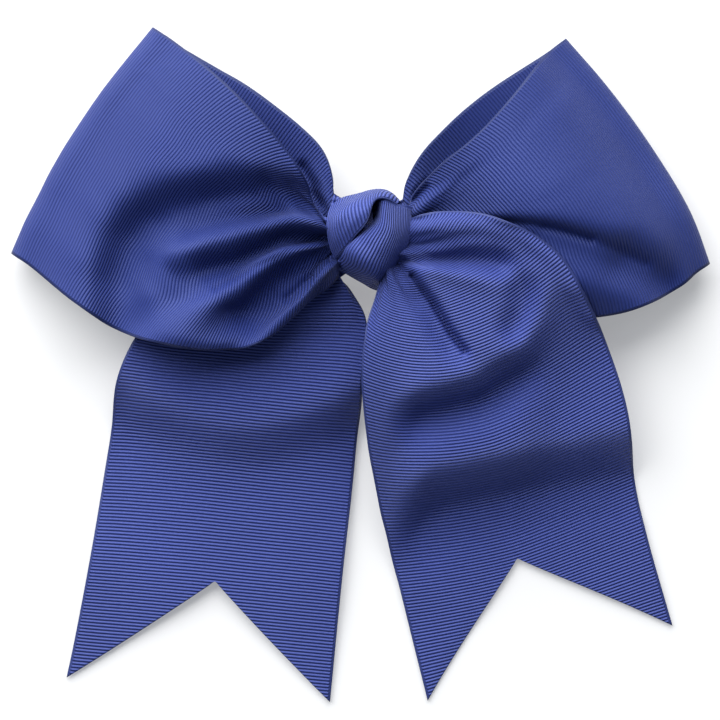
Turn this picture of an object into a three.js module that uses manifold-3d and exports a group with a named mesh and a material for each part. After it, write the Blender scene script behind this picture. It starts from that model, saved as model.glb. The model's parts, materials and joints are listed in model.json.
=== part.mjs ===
// A cheer hair bow: one pleated strip of wide grosgrain ribbon, a centre ribbon knotted round its
// waist, and a sprung alligator clip glued behind the knot.
// Millimetres. The bow lies on its back: +Z is the way its front faces, +Y is towards the tops of
// its loops. Every size below is given from the knot's centre; the last lines move the whole bow so
// that its origin is the middle of its footprint, on the surface that it lies on.
import * as THREE from 'three';
import { mergeVertices } from 'three/addons/utils/BufferGeometryUtils.js';
import Module from 'manifold-3d';

const wasm = await Module();
wasm.setup();

// Driving dimensions
const ribbonThickness = 0.9; // plain solid that stands for the 0.45 mm cloth and its body
const clearance = 0.35; // between pieces that touch
const waistHalfLength = 11.9;
const waistHalfWidth = 10.6; // at the knot's sides, where the gathers fan out
const waistHalfHeight = 4.6;
const waistMidZ = 19.1;
const waistPinch = 0.8; // how far the thread draws the waist in at its middle
const pleatCount = 3;
const knotBackZ = 12.9;
const knotFrontZ = 33.0;
const clipHalfWidth = 4.5;
const clipNoseX = 22;
const clipEndX = -28;
const clipPlateTopZ = 10.5;
const clipSheet = 0.6; // gauge of the pressed steel
const pivotX = -13;
const pivotZ = 7.2;
const pinRadius = 0.8;
const springWire = 0.7;
const springMeanRadius = 1.55;
const springTurns = 3.5;
const springPitch = 0.9;

const ribbonBlue = 0x3c4a96;
const steelGrey = 0xb9bcc0;
const glueAmber = 0xd8d2b8;

function cloth(color) {
  return new THREE.MeshStandardMaterial({ color, roughness: 0.85, metalness: 0 });
}

function steel() {
  return new THREE.MeshStandardMaterial({ color: steelGrey, roughness: 0.3, metalness: 1 });
}

function glue() {
  return new THREE.MeshStandardMaterial({ color: glueAmber, roughness: 0.35, metalness: 0 });
}

function named(name, geometry, material) {
  const mesh = new THREE.Mesh(geometry, material);
  mesh.name = name;
  return mesh;
}

// Joins and cuts

function toSolid(geometry) {
  const bare = geometry.clone();
  bare.deleteAttribute('normal');
  bare.deleteAttribute('uv');
  const merged = mergeVertices(bare, 1e-4);
  const corners = merged.index.array;
  const triangles = [];
  for (let k = 0; k < corners.length; k += 3) {
    const [a, b, c] = corners.slice(k, k + 3);
    if (a !== b && b !== c && c !== a) {
      triangles.push(a, b, c);
    }
  }
  return new wasm.Manifold(new wasm.Mesh({
    numProp: 3,
    vertProperties: new Float32Array(merged.attributes.position.array),
    triVerts: new Uint32Array(triangles),
  }));
}

function toGeometry(solid) {
  const mesh = solid.getMesh();
  const geometry = new THREE.BufferGeometry();
  geometry.setAttribute('position', new THREE.BufferAttribute(mesh.vertProperties, 3));
  geometry.setIndex(new THREE.BufferAttribute(mesh.triVerts, 1));
  geometry.computeVertexNormals();
  return geometry;
}

function joined(geometries) {
  return geometries.map(toSolid).reduce((whole, piece) => whole.add(piece));
}

// Outlines: an XY outline is raised along Z, and an XZ outline is drawn out along Y

function raised(shape, lowZ, highZ, curveSegments = 8) {
  const geometry = new THREE.ExtrudeGeometry(shape, {
    depth: highZ - lowZ,
    bevelEnabled: false,
    curveSegments,
  });
  return geometry.translate(0, 0, lowZ);
}

function drawnAcross(shape, lowY, highY, curveSegments = 8) {
  const geometry = new THREE.ExtrudeGeometry(shape, {
    depth: highY - lowY,
    bevelEnabled: false,
    curveSegments,
  });
  return geometry.rotateX(Math.PI / 2).translate(0, highY, 0);
}

function polygon(points) {
  return new THREE.Shape(points.map(([a, b]) => new THREE.Vector2(a, b)));
}

function roundedBox(halfX, halfY, radius) {
  const shape = new THREE.Shape();
  shape.moveTo(halfX, -halfY + radius);
  shape.lineTo(halfX, halfY - radius);
  shape.absarc(halfX - radius, halfY - radius, radius, 0, Math.PI / 2);
  shape.absarc(-halfX + radius, halfY - radius, radius, Math.PI / 2, Math.PI);
  shape.absarc(-halfX + radius, -halfY + radius, radius, Math.PI, 1.5 * Math.PI);
  shape.absarc(halfX - radius, -halfY + radius, radius, 1.5 * Math.PI, 2 * Math.PI);
  return shape;
}

// Ribbon sheets. A station is one line across the ribbon: its two selvages, how far its middle is
// crowned, and, where the ribbon ends in a V, the point of the V.

function station(first, last, crown = 0, notch = null) {
  const start = new THREE.Vector3(...first);
  const end = new THREE.Vector3(...last);
  const middle = notch ? new THREE.Vector3(...notch) : null;
  return (t) => {
    const place = new THREE.Vector3();
    if (middle && t < 0.5) {
      place.lerpVectors(start, middle, 2 * t);
    } else if (middle) {
      place.lerpVectors(middle, end, 2 * t - 1);
    } else {
      place.lerpVectors(start, end, t);
    }
    place.z += crown * 4 * t * (1 - t);
    return place;
  };
}

function sheetPoint(stations) {
  const fibres = new Map();
  return (s, t) => {
    if (!fibres.has(t)) {
      const points = stations.map((at) => at(t));
      fibres.set(t, new THREE.CatmullRomCurve3(points, false, 'centripetal'));
    }
    return fibres.get(t).getPoint(s);
  };
}

function sheetNormal(point, s, t) {
  const step = 0.01;
  const along = point(Math.min(s + step, 1), t).sub(point(Math.max(s - step, 0), t));
  const across = point(s, Math.min(t + step, 1)).sub(point(s, Math.max(t - step, 0)));
  return along.cross(across).normalize();
}

/** The closed solid of a ribbon sheet that runs through the stations. */
function ribbonSolid(stations, alongSteps, acrossSteps) {
  const point = sheetPoint(stations);
  const positions = [];
  for (const side of [1, -1]) {
    for (let i = 0; i <= alongSteps; i += 1) {
      for (let j = 0; j <= acrossSteps; j += 1) {
        const s = i / alongSteps;
        const t = j / acrossSteps;
        const place = point(s, t);
        place.addScaledVector(sheetNormal(point, s, t), side * ribbonThickness / 2);
        positions.push(place.x, place.y, place.z);
      }
    }
  }
  const row = acrossSteps + 1;
  const layer = row * (alongSteps + 1);
  const triangles = [];
  const quad = (a, b, c, d) => triangles.push(a, b, c, a, c, d);
  for (let i = 0; i < alongSteps; i += 1) {
    for (let j = 0; j < acrossSteps; j += 1) {
      const k = i * row + j;
      quad(k, k + row, k + row + 1, k + 1);
      quad(layer + k, layer + k + 1, layer + k + row + 1, layer + k + row);
    }
    const first = i * row;
    const last = first + acrossSteps;
    quad(first, layer + first, layer + first + row, first + row);
    quad(last, last + row, layer + last + row, layer + last);
  }
  for (let j = 0; j < acrossSteps; j += 1) {
    const far = alongSteps * row + j;
    quad(j, j + 1, layer + j + 1, layer + j);
    quad(far, layer + far, layer + far + 1, far + 1);
  }
  const geometry = new THREE.BufferGeometry();
  geometry.setAttribute('position', new THREE.Float32BufferAttribute(positions, 3));
  geometry.setIndex(triangles);
  return geometry;
}

// The heights at which the three layers of the strip leave the waist, from back to front
const neckBackZ = 15.4;
const neckMiddleZ = 18.7;
const neckFrontZ = 22.6;
const neckX = waistHalfLength + 1.3;

// Where each tail's free part starts to swing: a line along the ribs, just below the loop
const tailHingeGap = 0.75; // each side of the hinge line
const leftHinge = { left: [-72, -36.4, 7], right: [-3.5, -41.4, 12] };
const rightHinge = { left: [-1.9, -41.4, 17], right: [67.9, -30.4, 22] };

function besideHinge(hinge, offset, crown = 0) {
  const shifted = (end) => [end[0], end[1] + offset, end[2] - offset * 0.15];
  return station(shifted(hinge.left), shifted(hinge.right), crown);
}

function leftTailUpper() {
  const stations = [
    station([-neckX, 10.3, neckBackZ], [-neckX - 1, -10.5, neckBackZ]),
    station([-38, -1, 11], [-8.5, -18, 14.8]),
    station([-62, -19, 8], [-1.8, -27, 14]),
    besideHinge(leftHinge, tailHingeGap),
  ];
  return named('left_tail_upper', ribbonSolid(stations, 14, 8), cloth(ribbonBlue));
}

function leftTailLower() {
  const stations = [
    besideHinge(leftHinge, -tailHingeGap),
    station([-74.5, -51, 5], [-3.9, -56, 7]),
    station([-77, -63, 1.4], [-4.9, -69, 1.6]),
    station([-81.5, -92, 0.6], [-7.5, -96, 0.6]),
    station([-88.4, -126.7, 1.2], [-11.6, -133.9, 1.2], 0, [-44.9, -99.1, 0.6]),
  ];
  return named('left_tail_lower', ribbonSolid(stations, 18, 10), cloth(ribbonBlue));
}

function rightTailUpper() {
  const stations = [
    station([neckX + 1.4, -9, neckFrontZ], [neckX, 5, neckFrontZ]),
    station([8, -18, 23], [32, 6, 28.5], 0.6),
    station([0.2, -27, 21], [54, -6, 28], 1),
    besideHinge(rightHinge, tailHingeGap),
  ];
  return named('right_tail_upper', ribbonSolid(stations, 14, 8), cloth(ribbonBlue));
}

function rightTailLower() {
  const stations = [
    besideHinge(rightHinge, -tailHingeGap),
    station([-0.8, -54, 12.5], [74, -47, 14], 1),
    station([2, -72, 5], [76.8, -66, 6]),
    station([5.5, -90, 0.7], [80.5, -84, 0.7]),
    station([16.5, -133.3, 1.4], [88.1, -111.9, 1.4], 0, [41.7, -93.3, 0.6]),
  ];
  return named('right_tail_lower', ribbonSolid(stations, 18, 10), cloth(ribbonBlue));
}

function leftLoop() {
  const stations = [
    station([-neckX, -10.3, neckMiddleZ], [-neckX, 10.3, neckMiddleZ]),
    station([-40, -27, 15.5], [-33, 38, 9]),
    station([-74, -26, 8.5], [-48, 50, 2.5]),
    station([-93, -12, 1.3], [-56, 55, 0.8]),
    station([-102.8, -4, 11.5], [-62, 60.8, 11]),
    station([-93, -13, 21.5], [-56, 54, 21.5]),
    station([-71, -28, 22.5], [-47, 48, 26], 4),
    station([-40, -30, 22.5], [-29, 30, 26.5], 3),
    station([-neckX, -10.3, neckFrontZ], [-neckX, 8, neckFrontZ]),
  ];
  return named('left_loop', ribbonSolid(stations, 36, 8), cloth(ribbonBlue));
}

function rightLoop() {
  const stations = [
    station([neckX, -10.3, neckBackZ], [neckX, 10.3, neckBackZ]),
    station([38, -20, 9], [28, 36, 8]),
    station([70, -20, 2.5], [44, 46, 2]),
    station([87.5, -14, 1.1], [49.5, 51, 1.1]),
    station([97, -7, 11], [54.2, 55.8, 11]),
    station([87.5, -15, 20], [49.5, 50, 20.5]),
    station([65, -23, 20], [41, 41, 26], 2.5),
    station([38, -21, 18.5], [25, 24, 26]),
    station([neckX, -10.3, neckMiddleZ], [neckX, 9.5, neckMiddleZ + 0.8]),
  ];
  return named('right_loop', ribbonSolid(stations, 36, 8), cloth(ribbonBlue));
}

/** The strip's three layers where they are gathered in the knot, as one pleated bundle. */
function ribbonWaist() {
  const outline = [];
  const steps = pleatCount * 8;
  const ripple = (y) => 0.5 * Math.cos((pleatCount * Math.PI * y) / waistHalfWidth);
  for (let i = 0; i <= steps; i += 1) {
    const y = waistHalfWidth * (1 - (2 * i) / steps);
    outline.push([y, waistHalfHeight - 0.5 + ripple(y)]);
  }
  for (let i = 0; i <= steps; i += 1) {
    const y = waistHalfWidth * ((2 * i) / steps - 1);
    outline.push([y, -waistHalfHeight + 0.5 - ripple(y)]);
  }
  const geometry = new THREE.ExtrudeGeometry(polygon(outline), {
    depth: 2 * waistHalfLength,
    steps: 8,
    bevelEnabled: false,
  });
  geometry.translate(0, 0, -waistHalfLength);
  const position = geometry.attributes.position;
  for (let i = 0; i < position.count; i += 1) {
    const x = position.getZ(i);
    const pinch = waistPinch + (1 - waistPinch) * (x / waistHalfLength) ** 2;
    position.setXYZ(i, x, position.getX(i) * pinch, waistMidZ + position.getY(i) * pinch);
  }
  return named('ribbon_waist', geometry, cloth(ribbonBlue));
}

/** Waxed thread wound round the middle of the waist to hold the gathers. */
function gatheringThread() {
  const halfWidth = waistHalfWidth * waistPinch + clearance;
  const halfHeight = waistHalfHeight * waistPinch + clearance;
  const threadDepth = 0.8;
  const outer = roundedBox(halfWidth + threadDepth, halfHeight + threadDepth, 2);
  outer.holes.push(roundedBox(halfWidth, halfHeight, 0.6));
  const geometry = new THREE.ExtrudeGeometry(outer, {
    depth: 2.4,
    bevelEnabled: false,
    curveSegments: 4,
  });
  geometry.translate(0, 0, -1.2).rotateX(Math.PI / 2).rotateZ(Math.PI / 2).translate(0, 0, waistMidZ);
  return named('gathering_thread', geometry, cloth(0x2c356e));
}

/** The centre ribbon's knot: a bulging front over the waist, and two ends that meet behind it. */
function knotRibbon() {
  const front = new THREE.Shape();
  front.moveTo(-10.6, 9.2);
  front.quadraticCurveTo(-11.3, 10.4, -9.6, 10.6);
  front.lineTo(0.4, 13.2);
  front.quadraticCurveTo(9.6, 13.6, 11.2, 7.2);
  front.quadraticCurveTo(11.2, -2, 8.6, -6.4);
  front.lineTo(3.2, -15);
  front.quadraticCurveTo(2.2, -16, 0.8, -14.9);
  front.lineTo(-8.2, -10.2);
  front.quadraticCurveTo(-11.4, -4, -10.6, 9.2);
  const outline = raised(front, knotBackZ, knotFrontZ, 5);
  const domeZ = waistMidZ + 1;
  const dome = new THREE.SphereGeometry(1, 28, 18).rotateX(Math.PI / 2);
  dome.scale(14.8, 18.2, knotFrontZ - domeZ).translate(0.3, -0.8, domeZ);
  const channel = polygon([
    [-13, -12.2], [-9, -11.2], [9, -11.2], [13, -12.2],
    [13, 12.2], [9, 11.2], [-9, 11.2], [-13, 12.2],
  ]);
  const passage = raised(channel, knotBackZ + 1, waistMidZ + waistHalfHeight + 0.6);
  const seam = new THREE.BoxGeometry(30, 3, 6).translate(0, 0, knotBackZ);
  const body = toSolid(outline).intersect(toSolid(dome));
  const solid = body.subtract(toSolid(passage)).subtract(toSolid(seam));
  return named('knot_ribbon', toGeometry(solid), cloth(ribbonBlue));
}

/** The bead of hot glue that joins the centre ribbon's ends at the back. */
function seamGlue() {
  const geometry = raised(roundedBox(7, 1.15, 1), knotBackZ, knotBackZ + 1, 4);
  return named('seam_glue', geometry, glue());
}

/** The pad of hot glue between the knot's back and the lined clip. */
function clipGlue() {
  const lowZ = clipPlateTopZ + 0.3 + 0.5 + 0.3;
  const bevel = 0.35;
  const geometry = new THREE.ExtrudeGeometry(roundedBox(9, 3.6, 3), {
    depth: knotBackZ - 0.3 - lowZ - 2 * bevel,
    bevelThickness: bevel,
    bevelSize: bevel,
    bevelSegments: 2,
    curveSegments: 4,
  });
  return named('clip_glue', geometry.translate(0, 0, lowZ + bevel), glue());
}

/** The narrow ribbon glued along the clip's upper jaw. */
function clipLiner() {
  const length = clipNoseX - clipEndX - 3;
  const lowZ = clipPlateTopZ + 0.3;
  const geometry = raised(roundedBox(length / 2, 4.8, 1), lowZ, lowZ + 0.5, 4);
  geometry.translate((clipNoseX + clipEndX) / 2, 0, 0);
  return named('clip_liner', geometry, cloth(0x2c356e));
}

/** A pair of ears that hang from the upper jaw or stand up from the lower jaw, one each side. */
function ears(shape, outerY) {
  return [-1, 1].map((side) => {
    const lowY = side > 0 ? outerY - clipSheet : -outerY;
    return drawnAcross(shape, lowY, lowY + clipSheet);
  });
}

function pinHole() {
  return new THREE.CylinderGeometry(pinRadius + 0.3, pinRadius + 0.3, 14, 20)
    .translate(pivotX, 0, pivotZ);
}

/** The upper jaw: a flat pressed plate with two ears and a turned-down toothed nose. */
function clipUpperJaw() {
  const plateLowZ = clipPlateTopZ - clipSheet;
  const outline = new THREE.Shape();
  outline.moveTo(clipEndX + clipHalfWidth, -clipHalfWidth);
  outline.lineTo(clipNoseX - 6, -clipHalfWidth);
  outline.lineTo(clipNoseX, -2.8);
  outline.lineTo(clipNoseX, 2.8);
  outline.lineTo(clipNoseX - 6, clipHalfWidth);
  outline.absarc(clipEndX + clipHalfWidth, 0, clipHalfWidth, Math.PI / 2, 1.5 * Math.PI);
  const plate = raised(outline, plateLowZ, clipPlateTopZ);
  const ear = new THREE.Shape();
  ear.moveTo(pivotX - 4, plateLowZ + 0.1);
  ear.lineTo(pivotX - 2.2, pivotZ);
  ear.absarc(pivotX, pivotZ, 2.2, Math.PI, 2 * Math.PI);
  ear.lineTo(pivotX + 5, plateLowZ + 0.1);
  const teeth = [];
  for (let k = 0; k < 3; k += 1) {
    const y = (k - 1) * 1.8;
    const tooth = polygon([[y - 0.6, plateLowZ + 0.1], [y, plateLowZ - 1], [y + 0.6, plateLowZ + 0.1]]);
    const solid = new THREE.ExtrudeGeometry(tooth, { depth: clipSheet, bevelEnabled: false });
    teeth.push(solid.rotateX(Math.PI / 2).rotateZ(Math.PI / 2).translate(clipNoseX - clipSheet, 0, 0));
  }
  const solid = joined([plate, ...ears(ear, clipHalfWidth), ...teeth]).subtract(toSolid(pinHole()));
  return named('clip_upper_jaw', toGeometry(solid), steel());
}

// The lower jaw's side outline: its lever drops away from the upper jaw behind the pivot, and its
// front rises to meet the nose.
const leverEndZ = 0.9;
const jawBendZ = 4.3;
const jawNoseZ = 8.1;
const jawHalfWidth = 3.5;

/** The lower jaw: lever, channel and nose in one pressing, which turns on the pin. */
function clipLowerJaw() {
  const noseX = clipNoseX - 1.2;
  const strip = polygon([
    [clipEndX, leverEndZ - clipSheet / 2], [pivotX, jawBendZ - clipSheet / 2],
    [noseX, jawNoseZ - clipSheet / 2], [noseX, jawNoseZ + clipSheet / 2],
    [pivotX, jawBendZ + clipSheet / 2], [clipEndX, leverEndZ + clipSheet / 2],
  ]);
  const blank = drawnAcross(strip, -jawHalfWidth, jawHalfWidth);
  const footprint = new THREE.Shape();
  footprint.moveTo(clipEndX + jawHalfWidth, -jawHalfWidth);
  footprint.lineTo(noseX - 5, -jawHalfWidth);
  footprint.lineTo(noseX, -2.2);
  footprint.lineTo(noseX, 2.2);
  footprint.lineTo(noseX - 5, jawHalfWidth);
  footprint.absarc(clipEndX + jawHalfWidth, 0, jawHalfWidth, Math.PI / 2, 1.5 * Math.PI);
  const trimmed = toSolid(blank).intersect(toSolid(raised(footprint, -1, clipPlateTopZ)));
  const ear = new THREE.Shape();
  ear.moveTo(pivotX - 4, jawBendZ - 1.1);
  ear.lineTo(pivotX + 4.4, jawBendZ + 0.4);
  ear.lineTo(pivotX + 1.9, pivotZ);
  ear.absarc(pivotX, pivotZ, 1.9, 0, Math.PI);
  const solid = joined(ears(ear, jawHalfWidth)).add(trimmed).subtract(toSolid(pinHole()));
  return named('clip_lower_jaw', toGeometry(solid), steel());
}

/** The pin that both jaws turn on, headed at each end. */
function clipPin() {
  const headStart = clipHalfWidth + 0.3;
  const headEnd = headStart + 0.5;
  const profile = [
    [0, -headEnd], [1.5, -headEnd], [1.5, -headStart], [pinRadius, -headStart],
    [pinRadius, headStart], [1.5, headStart], [1.5, headEnd], [0, headEnd],
  ].map(([r, y]) => new THREE.Vector2(r, y));
  const geometry = new THREE.LatheGeometry(profile, 16).translate(pivotX, 0, pivotZ);
  return named('clip_pin', geometry, steel());
}

class CoilCurve extends THREE.Curve {
  getPoint(u, target = new THREE.Vector3()) {
    const angle = -Math.PI / 2 + u * 2 * Math.PI * springTurns;
    return target.set(
      pivotX + springMeanRadius * Math.cos(angle),
      (u - 0.5) * springTurns * springPitch,
      pivotZ + springMeanRadius * Math.sin(angle),
    );
  }
}

function wireSection() {
  const section = new THREE.Shape();
  section.absarc(0, 0, springWire / 2, 0, 2 * Math.PI);
  return section;
}

/** The torsion spring's coil, round the pin. */
function clipSpring() {
  const geometry = new THREE.ExtrudeGeometry(wireSection(), {
    extrudePath: new CoilCurve(),
    steps: springTurns * 14,
    bevelEnabled: false,
    curveSegments: 3,
  });
  return named('clip_spring', geometry, steel());
}

/** One leg of the torsion spring, a straight wire that bears on a jaw behind the pivot. */
function springLeg(name, y, start, end) {
  const path = new THREE.LineCurve3(
    new THREE.Vector3(start[0], y, start[1]),
    new THREE.Vector3(end[0], y, end[1]),
  );
  const geometry = new THREE.ExtrudeGeometry(wireSection(), {
    extrudePath: path,
    steps: 1,
    bevelEnabled: false,
    curveSegments: 3,
  });
  return named(name, geometry, steel());
}

const legY = (springTurns * springPitch) / 2;
const legLength = 9.5;

/** How high the lower jaw's lever stands, on its inner face, at a place along the clip. */
function leverTopAt(x) {
  const slope = (jawBendZ - leverEndZ) / (pivotX - clipEndX);
  return jawBendZ + (x - pivotX) * slope + clipSheet / 2;
}

const ribbonGroup = new THREE.Group();
ribbonGroup.add(ribbonWaist(), leftLoop(), rightLoop());
ribbonGroup.add(leftTailUpper(), leftTailLower(), rightTailUpper(), rightTailLower());

const centreGroup = new THREE.Group();
centreGroup.add(gatheringThread(), knotRibbon(), seamGlue(), clipGlue(), clipLiner());

const clipGroup = new THREE.Group();
clipGroup.add(clipUpperJaw(), clipLowerJaw(), clipPin(), clipSpring());
clipGroup.add(springLeg(
  'clip_spring_upper_leg',
  legY,
  [pivotX - 0.5, pivotZ + springMeanRadius],
  [pivotX - legLength, clipPlateTopZ - clipSheet - clearance - springWire / 2],
));
clipGroup.add(springLeg(
  'clip_spring_lower_leg',
  -legY,
  [pivotX - 0.5, pivotZ - springMeanRadius],
  [pivotX - legLength, leverTopAt(pivotX - legLength) + clearance + springWire / 2],
));

const bow = new THREE.Group();
bow.add(ribbonGroup, centreGroup, clipGroup);
const extent = new THREE.Box3().setFromObject(bow, true);
const middle = extent.getCenter(new THREE.Vector3());
bow.position.set(-middle.x, -middle.y, -extent.min.z);

export default bow;
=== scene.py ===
"""The looks of a cheer hair bow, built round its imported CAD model.

Lengths in the tables are millimetres from the knot's centre, with X to the right, Y towards the
tops of the loops and Z up from the table. place() turns them into metres in the CAD's frame.
"""

import json
import math

import bpy
import numpy as np
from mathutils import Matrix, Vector


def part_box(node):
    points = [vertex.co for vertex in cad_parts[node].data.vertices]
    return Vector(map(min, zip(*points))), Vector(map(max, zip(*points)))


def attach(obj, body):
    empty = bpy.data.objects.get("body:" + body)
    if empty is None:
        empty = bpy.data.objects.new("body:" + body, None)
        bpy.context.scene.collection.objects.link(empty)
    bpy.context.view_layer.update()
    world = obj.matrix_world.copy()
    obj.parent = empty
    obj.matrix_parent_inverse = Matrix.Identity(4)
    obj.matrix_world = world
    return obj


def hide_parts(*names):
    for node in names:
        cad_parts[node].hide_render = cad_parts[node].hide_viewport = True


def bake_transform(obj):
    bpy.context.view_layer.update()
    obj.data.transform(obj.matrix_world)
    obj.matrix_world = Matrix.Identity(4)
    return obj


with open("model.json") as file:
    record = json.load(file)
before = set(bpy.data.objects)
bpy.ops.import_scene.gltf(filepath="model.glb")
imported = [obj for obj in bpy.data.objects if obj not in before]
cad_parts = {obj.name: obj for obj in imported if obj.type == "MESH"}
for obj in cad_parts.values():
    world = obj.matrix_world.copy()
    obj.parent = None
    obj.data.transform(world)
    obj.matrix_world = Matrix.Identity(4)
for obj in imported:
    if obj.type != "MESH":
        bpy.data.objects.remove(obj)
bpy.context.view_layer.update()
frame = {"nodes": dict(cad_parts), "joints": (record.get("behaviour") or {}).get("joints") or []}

MM = 0.001
RIBBON_WIDTH = 76.2
RIBBON_THICKNESS = 0.45
RIB_PITCH = 1.0
ACROSS_STEPS = 56
GRID_STEP = 1.4  # length of ribbon between two rows of the sheet
FLOOR_GAP = 0.3
LAYER_GAP = 0.6
YARN_PITCH = 0.32
TWIST_PITCH = 1.3
RIB_RELIEF = 0.00045  # metres, for the bump
UV_SCALE = 100  # millimetres of ribbon in one unit of the UV map
CLOSEST, FARTHEST = 0.72, 1.01  # a thread's resting spacing, as shares of its flat one
RELAX_STEPS = 360
SELVAGE_PULL = 0.04
HEIGHT_PULL = 0.08
BEND_STIFFNESS = 0.02
PUSH_SHARE = 0.4  # how much of a squeezed spacing one step puts right
CONTACT_STEPS = 30  # steps between two layings of the ribbon's own first half
KNOT_CLEARANCE = 15  # nearer the knot than this, the sheets may touch
BEND_ROWS = 11  # half of the rows round a loop's fold

waist_low, waist_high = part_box("ribbon_waist")
KNOT = np.array([
    (waist_low.x + waist_high.x) / 2 / MM,
    (waist_low.y + waist_high.y) / 2 / MM,
    0.0,
])
WAIST_Z = (waist_low.z + waist_high.z) / 2 / MM


def place(points):
    """Millimetres from the knot's centre, as metres in the frame."""
    return (np.asarray(points, float) + KNOT) * MM


# ---------------------------------------------------------------- curves and smooth steps

def spline(points, count):
    """Points evenly spaced along a smooth curve through the given ones."""
    knots = np.asarray(points, float)
    ends = np.vstack([2 * knots[0] - knots[1], knots, 2 * knots[-1] - knots[-2]])
    rows = []
    for k in range(len(knots) - 1):
        a, b, c, d = ends[k:k + 4]
        t = np.linspace(0, 1, 24, endpoint=False)[:, None]
        rows.append(0.5 * (2 * b + (c - a) * t + (2 * a - 5 * b + 4 * c - d) * t ** 2
                           + (3 * b - 3 * c + d - a) * t ** 3))
    rows.append(knots[-1:])
    return resample(np.vstack(rows), count)


def resample(path, count):
    """The same path with its points spread evenly along it."""
    steps = np.linalg.norm(np.diff(path, axis=0), axis=1)
    length = np.concatenate([[0], np.cumsum(steps)])
    even = np.linspace(0, length[-1], count)
    return np.stack([np.interp(even, length, path[:, k]) for k in range(path.shape[1])], axis=1)


def path_length(path):
    return np.linalg.norm(np.diff(path, axis=0), axis=1).sum()


def smooth(t):
    t = np.clip(t, 0, 1)
    return t * t * (3 - 2 * t)


def smooth_table(table, x):
    """A smooth curve through the (x, value) pairs of a table."""
    xs = np.array([row[0] for row in table], float)
    ys = np.array([row[1] for row in table], float)
    x = np.clip(x, xs[0], xs[-1])
    k = np.clip(np.searchsorted(xs, x) - 1, 0, len(xs) - 2)
    slopes = np.gradient(ys, xs)
    h = xs[k + 1] - xs[k]
    t = (x - xs[k]) / h
    return ((2 * t ** 3 - 3 * t ** 2 + 1) * ys[k] + (t ** 3 - 2 * t ** 2 + t) * h * slopes[k]
            + (-2 * t ** 3 + 3 * t ** 2) * ys[k + 1] + (t ** 3 - t ** 2) * h * slopes[k + 1])


def distance_to_line(x, y, line):
    """How far each point is from a polyline."""
    best = np.full(x.shape, 1e9)
    for (ax, ay), (bx, by) in zip(line[:-1], line[1:]):
        dx, dy = bx - ax, by - ay
        t = np.clip(((x - ax) * dx + (y - ay) * dy) / (dx * dx + dy * dy), 0, 1)
        best = np.minimum(best, np.hypot(x - ax - t * dx, y - ay - t * dy))
    return best


def side_distance(x, y, line):
    """Distance from a polyline, positive on its right-hand side."""
    best = np.full(x.shape, 1e9)
    side = np.ones(x.shape)
    for (ax, ay), (bx, by) in zip(line[:-1], line[1:]):
        dx, dy = bx - ax, by - ay
        t = np.clip(((x - ax) * dx + (y - ay) * dy) / (dx * dx + dy * dy), 0, 1)
        distance = np.hypot(x - ax - t * dx, y - ay - t * dy)
        turn = np.sign((x - ax) * dy - (y - ay) * dx)
        side = np.where(distance < best, turn, side)
        best = np.minimum(best, distance)
    return best * side


def add_step(points, drop, half_width, line):
    """Lowers the right-hand side of a line by drop, over a slope centred on the line."""
    x, y = points[..., 0], points[..., 1]
    points[..., 2] -= drop * smooth(0.5 + side_distance(x, y, line) / (2 * half_width))


def add_folds(points, folds):
    """Raises ridges and presses valleys into a sheet. A fold is (height, half width, line)."""
    x, y = points[..., 0], points[..., 1]
    lift = np.zeros(x.shape)
    for height, width, line in folds:
        lift += height * np.exp(-(distance_to_line(x, y, line) / width) ** 2)
    points[..., 2] += lift


# ---------------------------------------------------------------- relaxing the ribbon as cloth

def edge_sets(flat, start_points):
    """Pairs of grid points with their resting distances, in sets whose pairs share no point.

    A pair that starts closer than the flat ribbon has it may rest at down to CLOSEST of that.
    """
    rows, columns = flat.shape[:2]
    index = np.arange(rows * columns).reshape(rows, columns)
    sets = []

    def add(first, second, stiffness):
        a, b = first.ravel(), second.ravel()
        woven = np.linalg.norm(flat.reshape(-1, 2)[a] - flat.reshape(-1, 2)[b], axis=1)
        drawn = np.linalg.norm(start_points[a] - start_points[b], axis=1)
        kept = np.clip(drawn, CLOSEST * woven, FARTHEST * woven)
        rest = kept if stiffness > 0.5 else drawn
        sets.append((a, b, rest, stiffness))

    for start in (0, 1):
        add(index[start:-1:2], index[start + 1::2][:len(index[start:-1:2])], 1.0)
        add(index[:, start:-1:2], index[:, start + 1::2][:, :len(range(start, columns - 1, 2))], 1.0)
        upper = index[start:-1:2]
        lower = index[start + 1::2][:len(upper)]
        add(upper[:, :-1], lower[:, 1:], 0.6)
        add(upper[:, 1:], lower[:, :-1], 0.6)
    for stride, stiffness in ((2, 0.25), (5, 0.12)):
        for start in range(2):
            for row in range(stride):
                upper = index[row + start * stride::2 * stride]
                lower = index[row + (start + 1) * stride::2 * stride]
                count = min(len(upper), len(lower))
                add(upper[:count], lower[:count], stiffness)
                left = index[:, row + start * stride::2 * stride]
                right = index[:, row + (start + 1) * stride::2 * stride]
                count = min(left.shape[1], right.shape[1])
                add(left[:, :count], right[:, :count], stiffness)
    return [s for s in sets if len(s[0])]


class Pile:
    """The height of everything laid down so far, on a 1 mm grid."""

    def __init__(self):
        self.height = np.full((260, 260), FLOOR_GAP)

    def cells(self, points):
        return (np.clip(points[:, 0] + 130, 0, 259).astype(int),
                np.clip(points[:, 1] + 160, 0, 259).astype(int))

    def lay(self, points):
        points = points.reshape(-1, 3)
        layer = np.zeros(self.height.shape)
        np.maximum.at(layer, self.cells(points), points[:, 2])
        spread = layer.copy()
        for dx in (-1, 0, 1):
            for dy in (-1, 0, 1):
                spread = np.maximum(spread, np.roll(layer, (dx, dy), (0, 1)))
        self.height = np.maximum(self.height, spread)

    def under(self, points):
        return self.height[self.cells(points)]


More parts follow.
